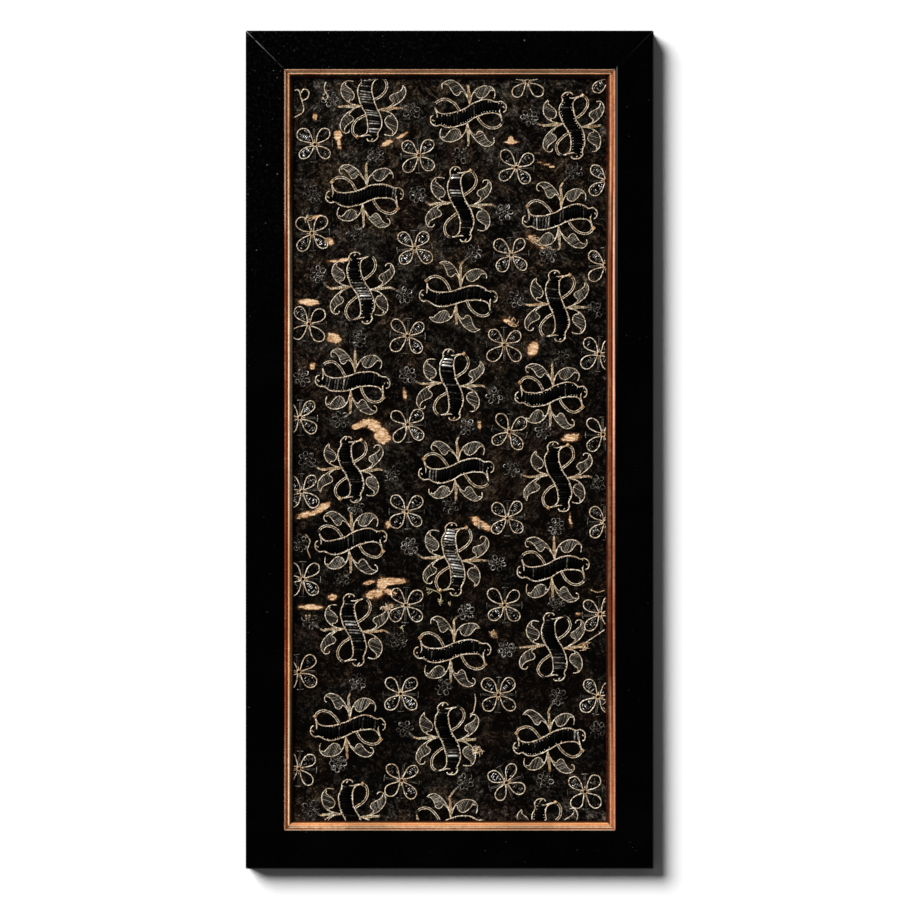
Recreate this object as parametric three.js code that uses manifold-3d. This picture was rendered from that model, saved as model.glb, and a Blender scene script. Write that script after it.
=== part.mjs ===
// A velvet panel worked with couched cord, stretched flat behind a gilt slip in a black mitred frame.
// It lies on its back in millimetres: +Z is its face, +Y its top edge, and the origin is under its middle.
import * as THREE from 'three';
import { mergeVertices } from 'three/addons/utils/BufferGeometryUtils.js';
import Module from 'manifold-3d';

const wasm = await Module();
wasm.setup();

// The frame outside, and the fit that neighbouring pieces keep.
const frameWidth = 408;
const frameHeight = 838.4;
const fit = 0.3;

// The black moulding's section. Widths run inwards from the frame's outer edge, heights up from its back.
const railFace = 37.4;
const railDepth = 24;
const railArris = 1;
const rebateWidth = 6;
const rebateDepth = 16;

// The gilt slip's section: two round beads with a groove between them, and a bevel down to the velvet.
const slipWidth = 9.3;
const slipUnderside = 12;
const slipEdge = 1.5;
const slipBevelRise = 3.7;
const slipBevelWidth = 2.7;
const innerBeadRadius = 1.3;
const innerBeadCentre = 17.5;
const grooveWidth = 1;
const grooveFloor = 17;
const outerBeadRadius = 1.5;
const outerBeadCentre = 19.5;

// The velvet with its board, which fill the rebate from edge to edge.
const velvetThickness = 2;
const boardThickness = 3.4;
const workHeight = 1.2;
const workSink = 0.3;
const slipClearance = 0.5;

const rebateEdge = railFace - rebateWidth + fit;
const slipStart = railFace + fit;
const sightEdge = slipStart + slipWidth;
const velvetFace = slipUnderside - fit;
const velvetBack = velvetFace - velvetThickness;
const boardFace = velvetBack - fit;
const boardBack = boardFace - boardThickness;
const stretchedWidth = frameWidth - 2 * rebateEdge;
const stretchedHeight = frameHeight - 2 * rebateEdge;

// One row for each scroll knot: the middle of its band, its turn in degrees, and its reach from curl to
// curl. The rows go down the left, the middle and the right column.
const knotColumns = ['x', 'y', 'turn', 'reach'];
const knotTable = [
  [-80, 343, -86, 66],
  [-85, 255, 2, 75],
  [-89, 162, -80, 70],
  [-97, 68, -3, 72],
  [-99, -20, -82, 64],
  [-99, -92, 8, 70],
  [-96, -181, -83, 70],
  [-102, -279, 5, 73],
  [-99, -367, -85, 70],
  [19, 337, 10, 74],
  [11, 246, -82, 73],
  [9, 154, -2, 75],
  [2, 65, -86, 69],
  [7, -21, 5, 73],
  [4, -110, -87, 71],
  [3, -202, 2, 74],
  [-2, -290, -83, 71],
  [-1, -378, 0, 74],
  [123, 325, -82, 65],
  [111, 233, 6, 73],
  [108, 144, -86, 69],
  [102, 55, 4, 70],
  [109, -27, -81, 68],
  [104, -119, 6, 70],
  [105, -198, -82, 66],
  [100, -293, 10, 71],
  [96, -386, -82, 70],
];

// One row for each four-petalled flower between the knots, in four columns from left to right.
const flowerColumns = ['x', 'y', 'turn'];
const flowerTable = [
  [-135, 306, 0],
  [-138, 217, 4],
  [-141, 126, -4],
  [-150, 32, 0],
  [-148, -42, 5],
  [-147, -130, 0],
  [-151, -223, 4],
  [-151, -320, -6],
  [-31, 295, 3],
  [-35, 202, 4],
  [-42, 114, -4],
  [-42, 25, 3],
  [-43, -62, 0],
  [-44, -156, -3],
  [-49, -245, 0],
  [-48, -332, -5],
  [78, 369, 0],
  [67, 283, -6],
  [62, 195, 4],
  [55, 105, -3],
  [60, 18, -8],
  [58, -69, 3],
  [55, -156, 0],
  [49, -246, 0],
  [57, -334, 22],
  [160, 373, 0],
  [157, 270, 0],
  [156, 185, 4],
  [150, 96, -5],
  [154, 15, 3],
  [156, -73, 0],
  [151, -165, 6],
  [149, -248, -4],
  [136, -343, 3],
];

// One row for each small round floret.
const floretColumns = ['x', 'y'];
const floretTable = [
  [-38, 339], [-74, 295], [-136, 256], [-32, 256], [-96, 218], [-120, 352], [80, 333],
  [11, 295], [125, 279], [55, 238], [-132, 176], [-45, 155], [-92, 111], [-42, 75],
  [-109, 30], [-148, 72], [24, 197], [99, 195], [66, 151], [146, 140], [111, 93],
  [45, 54], [17, 23], [94, 19], [-143, -10], [-58, -25], [-94, -57], [-40, -97],
  [-107, -129], [-140, -172], [-51, -192], [-150, -94], [62, -19], [1, -56], [107, -77],
  [149, -34], [48, -114], [107, -154], [17, -163], [57, -200], [-92, -233], [-6, -238],
  [-45, -280], [-112, -315], [-139, -359], [109, -248], [16, -333], [96, -331], [149, -281],
];

// The knot drawn once, lying across, as the half above its middle. The other half is this one turned round.
const drawnReach = 75;
const bandHalf = [
  [-27, 4.5], [-19, 3.3], [-10, 4], [0, 7.2], [10, 10.3],
  [20, 10.8], [29, 7], [36, 5.8], [38.6, 0], [35.5, -4.8],
];
const loopLine = [[-32.6, 4], [-32.4, 14], [-28, 18.2], [-21.5, 18.8], [-14.5, 14.4], [-8.6, 5]];
const loopWidth = 3.6;
const stemLine = [[1.8, 10], [1.6, 28]];
const stemWidth = 3.2;

// The curled leaf, drawn from its foot at 0, 0, and where each half knot has one: the foot, the turn, and
// a side of -1 where the leaf is turned over.
const leafOutline = [[0, 0], [3, 5], [9, 7.5], [16, 7], [22, 3], [22.5, -4], [16, -1.5], [10, -4.2], [5, -3]];
const leafCrown = [11, 1.5];
const leafColumns = ['x', 'y', 'turn', 'side'];
const leafTable = [
  [4, 20, 2, 1],
  [-2, 20, 152, -1],
];

// The petal, drawn outwards from the flower's middle, and the floret as a low octagon.
const petalOutline = [[2, 0], [9, 4.4], [15, 5.8], [20.5, 3.2], [20.5, -3.2], [15, -5.8], [9, -4.4]];
const petalCrown = [14, 0];
const petalTurns = [45, 135, 225, 315];
const floretRadius = 8;
const floretSides = 8;

const colours = {
  blackLacquer: { color: '#0a0a0a', roughness: 0.35, metalness: 0 },
  wornGilt: { color: '#c98a5c', roughness: 0.35, metalness: 0.8 },
  workedVelvet: { color: '#1e1813', roughness: 0.95, metalness: 0 },
  plainBoard: { color: '#7d6a52', roughness: 0.9, metalness: 0 },
};

const part = new THREE.Group();

function rows(columns, table) {
  return table.map((row) => Object.fromEntries(columns.map((name, i) => [name, row[i]])));
}

// Turns, then moves, a list of points on the flat.
function place(points, x, y, turn) {
  const angle = THREE.MathUtils.degToRad(turn);
  const middle = new THREE.Vector2();
  const step = new THREE.Vector2(x, y);
  return points.map(([px, py]) => new THREE.Vector2(px, py).rotateAround(middle, angle).add(step).toArray());
}

function addPiece(name, geometry, finish, parent = part) {
  const mesh = new THREE.Mesh(geometry, new THREE.MeshStandardMaterial(finish));
  mesh.name = name;
  parent.add(mesh);
  return mesh;
}

// A straight length of a section, with both ends mitred. Its outer edge lies along X, and Y runs inwards.
function mitredLength(section, length) {
  const geometry = new THREE.ExtrudeGeometry(section, { depth: 1, bevelEnabled: false, curveSegments: 6 });
  const corners = geometry.getAttribute('position');
  const mitreGap = fit / Math.SQRT2;
  for (let i = 0; i < corners.count; i++) {
    const inwards = corners.getX(i);
    const end = corners.getZ(i) > 0.5 ? 1 : -1;
    corners.setXYZ(i, end * (length / 2 - inwards - mitreGap), inwards, corners.getY(i));
  }
  geometry.computeVertexNormals();
  return geometry;
}

function railSection() {
  const lip = railFace;
  const shape = new THREE.Shape();
  shape.moveTo(0, 0);
  shape.lineTo(lip - rebateWidth, 0);
  shape.lineTo(lip - rebateWidth, rebateDepth);
  shape.lineTo(lip, rebateDepth);
  shape.lineTo(lip, railDepth - railArris);
  shape.lineTo(lip - railArris, railDepth);
  shape.lineTo(railArris, railDepth);
  shape.lineTo(0, railDepth - railArris);
  return shape;
}

function slipSection() {
  const innerBead = sightEdge - slipBevelWidth - innerBeadRadius;
  const grooveEnd = innerBead - innerBeadRadius;
  const outerBead = slipStart + outerBeadRadius;
  const edgeTop = slipUnderside + slipEdge;
  const shape = new THREE.Shape();
  shape.moveTo(rebateEdge, slipUnderside);
  shape.lineTo(sightEdge, slipUnderside);
  shape.lineTo(sightEdge, edgeTop);
  shape.lineTo(innerBead + innerBeadRadius, edgeTop + slipBevelRise);
  shape.absarc(innerBead, innerBeadCentre, innerBeadRadius, 0, Math.PI, false);
  shape.lineTo(grooveEnd, grooveFloor);
  shape.lineTo(grooveEnd - grooveWidth, grooveFloor);
  shape.absarc(outerBead, outerBeadCentre, outerBeadRadius, 0, Math.PI, false);
  shape.lineTo(slipStart, rebateDepth - fit);
  shape.lineTo(rebateEdge, rebateDepth - fit);
  return shape;
}

// Four mitred lengths round the frame, each turned so that it runs inwards from its own edge.
function surround(kind, section, finish) {
  const sides = [
    { side: 'bottom', length: frameWidth, x: 0, y: -frameHeight / 2, turn: 0 },
    { side: 'right', length: frameHeight, x: frameWidth / 2, y: 0, turn: 90 },
    { side: 'top', length: frameWidth, x: 0, y: frameHeight / 2, turn: 180 },
    { side: 'left', length: frameHeight, x: -frameWidth / 2, y: 0, turn: 270 },
  ];
  for (const { side, length, x, y, turn } of sides) {
    const group = new THREE.Group();
    group.position.set(x, y, 0);
    group.rotation.z = THREE.MathUtils.degToRad(turn);
    addPiece(`${kind}_${side}`, mitredLength(section, length), finish, group);
    part.add(group);
  }
}

function toManifold(geometry) {
  const plain = geometry.clone();
  plain.deleteAttribute('normal');
  plain.deleteAttribute('uv');
  const merged = mergeVertices(plain.index ? plain.toNonIndexed() : plain, 1e-3);
  const vertProperties = new Float32Array(merged.getAttribute('position').array);
  const triVerts = new Uint32Array(merged.index.array);
  return new wasm.Manifold(new wasm.Mesh({ numProp: 3, vertProperties, triVerts }));
}

function toGeometry(solid) {
  const mesh = solid.getMesh();
  const geometry = new THREE.BufferGeometry();
  geometry.setAttribute('position', new THREE.BufferAttribute(mesh.vertProperties, mesh.numProp));
  geometry.setIndex(new THREE.BufferAttribute(mesh.triVerts, 1));
  geometry.computeVertexNormals();
  return geometry;
}

function block(width, length, low, high) {
  return new THREE.BoxGeometry(width, length, high - low).translate(0, 0, (low + high) / 2);
}

// A flat-topped form of the work, standing on the velvet's face.
function raised(points) {
  const shape = new THREE.Shape(points.map(([x, y]) => new THREE.Vector2(x, y)));
  const geometry = new THREE.ExtrudeGeometry(shape, { depth: workSink + workHeight, bevelEnabled: false });
  return geometry.translate(0, 0, velvetFace - workSink);
}

// A domed form: flat faces from the outline up to its crown. The foot is widened, so that the outline is
// true where it leaves the velvet.
function domed(points, crown) {
  const widen = (workHeight + workSink) / workHeight;
  const foot = points.map(([x, y]) => [crown[0] + (x - crown[0]) * widen, crown[1] + (y - crown[1]) * widen]);
  const anticlockwise = THREE.ShapeUtils.area(foot.map(([x, y]) => new THREE.Vector2(x, y))) > 0;
  const ring = anticlockwise ? foot : foot.reverse();
  const top = [...crown, velvetFace + workHeight];
  const bottom = [...crown, velvetFace - workSink];
  const corners = [];
  ring.forEach((point, i) => {
    const here = [...point, velvetFace - workSink];
    const next = [...ring[(i + 1) % ring.length], velvetFace - workSink];
    corners.push(...here, ...next, ...top);
    corners.push(...next, ...here, ...bottom);
  });
  const geometry = new THREE.BufferGeometry();
  geometry.setAttribute('position', new THREE.Float32BufferAttribute(corners, 3));
  return geometry;
}

// The outline of a strip of even width along a line of points.
function strip(line, width) {
  const along = line.map(([x, y]) => new THREE.Vector2(x, y));
  const sides = [[], []];
  along.forEach((point, i) => {
    const before = along[Math.max(i - 1, 0)];
    const after = along[Math.min(i + 1, along.length - 1)];
    const across = after.clone().sub(before).normalize().rotateAround(new THREE.Vector2(), Math.PI / 2);
    sides[0].push(point.clone().addScaledVector(across, width / 2).toArray());
    sides[1].unshift(point.clone().addScaledVector(across, -width / 2).toArray());
  });
  return [...sides[0], ...sides[1]];
}

// The forms of one knot: its band, and on each half of it a loop, a stem and two curled leaves.
function knotForms({ x, y, turn, reach }) {
  const stretch = reach / drawnReach;
  const shorten = (points) => points.map(([px, py]) => [px * stretch, py]);
  const half = shorten(bandHalf);
  const forms = [raised(place([...half, ...place(half, 0, 0, 180)], x, y, turn))];
  for (const halfTurn of [0, 180]) {
    const settle = (points) => place(place(points, 0, 0, halfTurn), x, y, turn);
    forms.push(raised(settle(strip(shorten(loopLine), loopWidth))));
    forms.push(raised(settle(strip(stemLine, stemWidth))));
    for (const leaf of rows(leafColumns, leafTable)) {
      const sided = (points) => points.map(([px, py]) => [px, py * leaf.side]);
      const lay = (points) => settle(place(sided(points), leaf.x, leaf.y, leaf.turn));
      forms.push(domed(lay(leafOutline), lay([leafCrown])[0]));
    }
  }
  return forms;
}

function flowerForms({ x, y, turn }) {
  return petalTurns.map((petalTurn) => {
    const lay = (points) => place(points, x, y, petalTurn + turn);
    return domed(lay(petalOutline), lay([petalCrown])[0]);
  });
}

function floretForm({ x, y }) {
  const rim = [];
  for (let i = 0; i < floretSides; i++) {
    rim.push(...place([[floretRadius, 0]], x, y, (360 / floretSides) * i));
  }
  return domed(rim, [x, y]);
}

// The velvet with the broad forms of the work raised on it, kept clear of the slip.
function workedVelvet() {
  const sightWidth = frameWidth - 2 * (sightEdge + slipClearance);
  const sightHeight = frameHeight - 2 * (sightEdge + slipClearance);
  const sight = toManifold(block(sightWidth, sightHeight, velvetBack, velvetFace + 2 * workHeight));
  const forms = [
    ...rows(knotColumns, knotTable).flatMap(knotForms),
    ...rows(flowerColumns, flowerTable).flatMap(flowerForms),
    ...rows(floretColumns, floretTable).map(floretForm),
  ];
  let work = toManifold(forms[0]);
  for (const form of forms.slice(1)) {
    work = work.add(toManifold(form));
  }
  const velvet = toManifold(block(stretchedWidth, stretchedHeight, velvetBack, velvetFace));
  return toGeometry(velvet.add(work.intersect(sight)));
}

surround('rail', railSection(), colours.blackLacquer);
surround('slip', slipSection(), colours.wornGilt);
addPiece('velvet_panel', workedVelvet(), colours.workedVelvet);
addPiece('backing_board', block(stretchedWidth, stretchedHeight, boardBack, boardFace), colours.plainBoard);

export default part;
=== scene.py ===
import math
import random
import bmesh
import bpy
import numpy as np
from mathutils import Matrix, Vector, noise


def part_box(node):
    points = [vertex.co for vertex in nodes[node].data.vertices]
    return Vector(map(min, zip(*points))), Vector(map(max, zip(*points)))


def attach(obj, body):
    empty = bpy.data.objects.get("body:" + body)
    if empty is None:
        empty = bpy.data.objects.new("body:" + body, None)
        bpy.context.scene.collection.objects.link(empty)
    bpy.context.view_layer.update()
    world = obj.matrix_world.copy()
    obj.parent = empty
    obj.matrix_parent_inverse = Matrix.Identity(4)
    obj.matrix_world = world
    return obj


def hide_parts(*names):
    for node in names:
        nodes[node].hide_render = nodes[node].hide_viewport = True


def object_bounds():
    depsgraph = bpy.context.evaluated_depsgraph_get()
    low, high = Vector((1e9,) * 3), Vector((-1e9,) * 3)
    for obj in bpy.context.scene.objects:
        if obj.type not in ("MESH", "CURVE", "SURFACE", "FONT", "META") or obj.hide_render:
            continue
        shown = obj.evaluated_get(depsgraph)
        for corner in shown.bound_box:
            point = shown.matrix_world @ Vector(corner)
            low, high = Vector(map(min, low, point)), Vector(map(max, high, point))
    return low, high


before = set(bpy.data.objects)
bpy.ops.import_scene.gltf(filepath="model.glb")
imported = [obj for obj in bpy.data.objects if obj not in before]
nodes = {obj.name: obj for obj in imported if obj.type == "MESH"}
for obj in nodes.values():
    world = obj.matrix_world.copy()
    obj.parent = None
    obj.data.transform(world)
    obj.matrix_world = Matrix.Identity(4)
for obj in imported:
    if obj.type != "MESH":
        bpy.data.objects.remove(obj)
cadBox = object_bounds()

mm = 0.001
scene = bpy.context.scene
noise.seed_set(3)            # without it, the noise's vectors come from the clock

# Lengths below are in millimetres on the panel: x to its right, y to its top edge, from its middle.
frameSize = [side / mm for side in (cadBox[1] - cadBox[0])]
clothLow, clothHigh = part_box("velvet_panel")
sightHalf = (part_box("slip_right")[0].x / mm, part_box("slip_top")[0].y / mm)
cloth = {
    "width": (clothHigh.x - clothLow.x) / mm,
    "length": (clothHigh.y - clothLow.y) / mm,
    "back": clothLow.z / mm,
    "thickness": 2.0,
    "pitch": 2.25,           # of its grid
    "crush": 0.28,           # how far the crushed pile rises and falls
    "crushSize": 14.0,
    "crushFade": 6.0,        # how far from the slip it begins to fade out
    "seed": 4,
}
clothFace = cloth["back"] + cloth["thickness"]


def shade(red, green, blue):  # a colour as it is seen, turned into the linear one that a shader takes
    return tuple((channel / 255) ** 2.2 for channel in (red, green, blue)) + (1.0,)


# Camera, light and floor

studio = {
    "cameraHeight": 4.0,
    "sensor": 36.0,
    "fieldWidth": 0.9,       # what the picture takes in, at the height of the frame's face
    "aim": (0.00035, -0.0003),
    "sunSlope": (-0.86, 0.81),   # how far the light leans for each metre of height
    "sunEnergy": 5.75,
    "sunSpread": 32.0,
    "roomLight": 0.085,
    "floorSize": 30.0,
    "floorShade": 0.86,
}


def setCamera():
    data = bpy.data.cameras.new("camera")
    data.sensor_width = studio["sensor"]
    reach = studio["cameraHeight"] - frameSize[2] * mm
    data.lens = studio["sensor"] * reach / studio["fieldWidth"]
    data.clip_end = 100
    camera = bpy.data.objects.new("camera", data)
    camera.location = (*studio["aim"], studio["cameraHeight"])
    scene.collection.objects.link(camera)
    scene.camera = camera


def setLight():
    data = bpy.data.lights.new("window", "SUN")
    data.energy = studio["sunEnergy"]
    data.angle = math.radians(studio["sunSpread"])
    window = bpy.data.objects.new("window", data)
    towards = Vector((*studio["sunSlope"], 1)).normalized()
    window.rotation_euler = towards.to_track_quat("Z", "Y").to_euler()
    scene.collection.objects.link(window)
    world = bpy.data.worlds.new("room")
    world.use_nodes = True
    background = world.node_tree.nodes["Background"]
    background.inputs["Color"].default_value = (1, 1, 1, 1)
    background.inputs["Strength"].default_value = studio["roomLight"]
    scene.world = world
    scene.view_settings.view_transform = "Standard"


# Materials

def sign(operation, swapped=False):  # the method that adds a Math node for one sign between two values
    def method(self, other):
        return self.maths(operation, *((other, self) if swapped else (self, other)))
    return method


class Value:  # a shader socket that may stand in a sum: each sign adds its Math node
    def __init__(self, recipe, socket):
        self.recipe = recipe
        self.socket = socket

    def maths(self, operation, *values):
        return self.recipe.node("Math", {"operation": operation}, dict(enumerate(values)))

    __add__ = sign("ADD")
    __radd__ = sign("ADD", swapped=True)
    __sub__ = sign("SUBTRACT")
    __rsub__ = sign("SUBTRACT", swapped=True)
    __mul__ = sign("MULTIPLY")
    __rmul__ = sign("MULTIPLY", swapped=True)
    __truediv__ = sign("DIVIDE")
    __pow__ = sign("POWER")
    least = sign("MINIMUM")
    most = sign("MAXIMUM")

    def __abs__(self):
        return self.maths("ABSOLUTE", self)

    def wave(self, operation, *more):
        return self.maths(operation, self, *more)

    def between(self, low, high):  # 0 below low, 1 above high, and smooth from one to the other
        limits = {"Value": self, "From Min": low, "From Max": high}
        return self.recipe.node("MapRange", {"interpolation_type": "SMOOTHSTEP"}, limits)

    def ramp(self, *stops):  # each stop is its place and the red, green and blue seen there
        return self.recipe.node("ValToRGB", {"stops": stops}, {"Fac": self})


class Recipe:  # one material, with its fixed numbers set on the shader's own sockets
    def __init__(self, name, fixed):
        self.material = bpy.data.materials.new(name)
        self.material.use_nodes = True
        self.tree = self.material.node_tree
        self.shader = self.tree.nodes["Principled BSDF"]
        for socket, value in fixed.items():
            self.shader.inputs[socket].default_value = value

    def node(self, kind, settings=None, inputs=None, output=0):
        made = self.tree.nodes.new("ShaderNode" + kind)
        for name, value in (settings or {}).items():
            if name == "stops":
                self.setStops(made.color_ramp, value)
            else:
                setattr(made, name, value)
        for name, value in (inputs or {}).items():
            self.feed(made.inputs[name], value)
        return Value(self, made.outputs[output])

    def setStops(self, ramp, stops):
        while len(ramp.elements) < len(stops):
            ramp.elements.new(1.0)
        for element, (place, *colour) in zip(ramp.elements, stops):
            element.position = place
            element.color = shade(*colour)

    def feed(self, socket, value):
        if isinstance(value, Value):
            self.tree.links.new(value.socket, socket)
        else:
            socket.default_value = value

    def mix(self, mask, first, second, blend="MIX"):  # first where the mask is 0, second where it is 1
        return self.node("Mix", {"data_type": "RGBA", "blend_type": blend}, {0: mask, 6: first, 7: second}, 2)

    def place(self):  # the point on the piece, in metres
        return self.node("TexCoord", output="Object")

    def axes(self):  # the same point's x, y and z, in millimetres
        split = self.node("SeparateXYZ", None, {0: self.place()}).socket.node
        return [Value(self, socket) / mm for socket in split.outputs]

    def mottle(self, size, detail=2.0, roughness=0.5, distortion=0.0, at=None):  # noise with lumps that big
        wanted = {"Vector": at or self.place(), "Scale": 1 / (size * mm), "Detail": detail,
                  "Roughness": roughness, "Distortion": distortion}
        return self.node("TexNoise", None, wanted)

    def strokes(self, degrees, squeeze):  # the point on the piece, turned, and squeezed along its first axis
        turn = {"Vector": self.place(), "Angle": math.radians(degrees)}
        spun = self.node("VectorRotate", {"rotation_type": "Z_AXIS"}, turn)
        return self.node("Mapping", None, {"Vector": spun, "Scale": (squeeze, 1, 1)})

    def attribute(self, name):
        return self.node("Attribute", {"attribute_name": name}, None, "Fac")

    def bump(self, height, strength, depth):
        wanted = {"Height": height, "Strength": strength, "Distance": depth * mm}
        return self.node("Bump", None, wanted)

    def finish(self, **sockets):
        names = {"colour": "Base Color", "roughness": "Roughness", "metallic": "Metallic", "normal": "Normal"}
        for name, value in sockets.items():
            self.feed(self.shader.inputs[names[name]], value)
        return self.material


# The moulding: black and polished, with dust on it, and painted highlights on the upper mitres and along the
# upper right inner arris

polish = {
    "innerArris": 36.7,      # from the frame's outer edge
    "specks": 105.0,         # scale of the larger dust, in cells to a metre
    "motes": 290.0,
}


def polishedBlack():
    recipe = Recipe("polishedBlack", {"Specular IOR Level": 0.07})
    x, y = recipe.axes()[:2]
    fromSide = frameSize[0] / 2 - abs(x)
    fromEnd = frameSize[1] / 2 - abs(y)
    offMitre = abs(fromSide - fromEnd)
    topLeft = (y - x).between(430, 470)
    topRight = (y + x).between(430, 470)
    # painted highlight along the mitres, strong at the top left corner and faint at the top right
    paintedMitreGlint = (1 - offMitre.between(0.2, 0.7)) * (0.2 + 0.8 * (1 - fromSide.between(6, 30)))
    mitre = paintedMitreGlint * (topLeft * recipe.mottle(6).between(0.25, 0.55) + topRight * 0.05)
    cells = recipe.node("TexVoronoi", None, {"Vector": recipe.place(), "Scale": polish["specks"]})
    chosen = Value(recipe, cells.socket.node.outputs["Color"])
    dusty = 0.12 + 0.88 * (y - x * 0.8).between(180, 560)
    speck = (1 - cells.between(0.03, 0.11)) * (chosen - 0.55).most(0) ** 2 * dusty
    haze = recipe.mottle(60, 3).between(0.45, 0.8)
    film = recipe.mottle(3.5, 4, 0.7).between(0.5, 0.75) * dusty
    motes = recipe.node("TexVoronoi", None, {"Vector": recipe.place(), "Scale": polish["motes"]})
    kept = (Value(recipe, motes.socket.node.outputs["Color"]) - 0.7).most(0)
    mote = (1 - motes.between(0.05, 0.22)) * kept * (y - x).between(360, 620)
    # painted highlight along the right rail's inner arris, over its upper part
    paintedArrisHighlight = 1 - abs(fromSide - polish["innerArris"]).between(0.2, 0.8)
    paintedArrisHighlight = paintedArrisHighlight * x.between(0, 1) * y.between(50, 390) * fromEnd.between(35.5, 36.5)
    # lift holds the dust and the painted highlights
    lift = (mitre * 0.35 + speck * 1.5 + mote * 0.5 + paintedArrisHighlight * 0.07 + film * 0.006 + haze * 0.0004).least(0.5)
    colour = recipe.mix(lift, shade(4, 4, 4), (1, 1, 1, 1))
    grain = recipe.mottle(1.4, 3)
    return recipe.finish(colour=colour, roughness=0.1 + haze * 0.05 + speck * 0.4,
                         normal=recipe.bump(grain, 0.04, 0.05))


# The slip. Each side has its own finishes, from its outer bead over the groove and the inner bead to the
# bevel, and the upright sides have others near their ends. They hold the gilding rubbed to the red clay, and
# also painted
# light and shade: painted highlights where a bead faces the light, painted shade where a groove or bevel is
# turned away.

gilt = {
    "start": 37.7,           # from the frame's outer edge
    "width": 9.3,
    # cream is mostly painted highlight on bead crests; umber and deep are mostly painted shade in grooves and
    # bevels
    "finishes": {
        "deep": (10, 4, 2), "umber": (54, 30, 14), "earth": (124, 68, 40), "clay": (116, 50, 16),
        "rust": (172, 78, 34), "ember": (250, 104, 44), "bronze": (140, 102, 74),
        "orange": (214, 134, 80), "pink": (252, 184, 150), "gilt": (236, 176, 118),
        "cream": (255, 230, 192),
    },
    "left": [(0.0, "umber"), (0.10, "earth"), (0.20, "rust"), (0.30, "ember"), (0.46, "ember"),
             (0.52, "cream"), (0.83, "cream"), (0.91, "bronze"), (0.97, "umber")],
    "leftEnds": [(0.0, "orange"), (0.07, "pink"), (0.24, "pink"), (0.31, "rust"), (0.38, "ember"),
                 (0.44, "gilt"), (0.60, "cream"), (0.70, "gilt"), (0.80, "bronze"), (0.90, "umber")],
    "leftTop": [(0.0, "orange"), (0.07, "pink"), (0.27, "pink"), (0.33, "clay"), (0.38, "rust"),
                (0.43, "cream"), (0.54, "cream"), (0.60, "orange"), (0.67, "bronze"), (0.75, "umber")],
    "right": [(0.0, "umber"), (0.07, "bronze"), (0.13, "pink"), (0.29, "pink"), (0.35, "clay"),
              (0.47, "rust"), (0.60, "clay"), (0.71, "clay"), (0.78, "bronze"), (0.84, "umber"),
              (0.93, "deep")],
    "rightEnds": [(0.0, "bronze"), (0.08, "orange"), (0.16, "pink"), (0.27, "orange"), (0.34, "clay"),
                  (0.42, "rust"), (0.48, "cream"), (0.59, "cream"), (0.66, "orange"), (0.72, "clay"),
                  (0.80, "umber"), (0.88, "deep")],
    "top": [(0.21, "cream"), (0.25, "orange"), (0.29, "clay"), (0.34, "rust"), (0.39, "cream"),
            (0.56, "cream"), (0.61, "orange"), (0.67, "umber"), (0.76, "deep")],
    "bottom": [(0.10, "cream"), (0.15, "orange"), (0.20, "clay"), (0.24, "umber"), (0.29, "clay"),
               (0.35, "cream"), (0.52, "cream"), (0.58, "orange"), (0.70, "orange"), (0.77, "gilt"),
               (0.84, "earth"), (0.90, "umber"), (1.0, "deep")],
}


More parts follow.
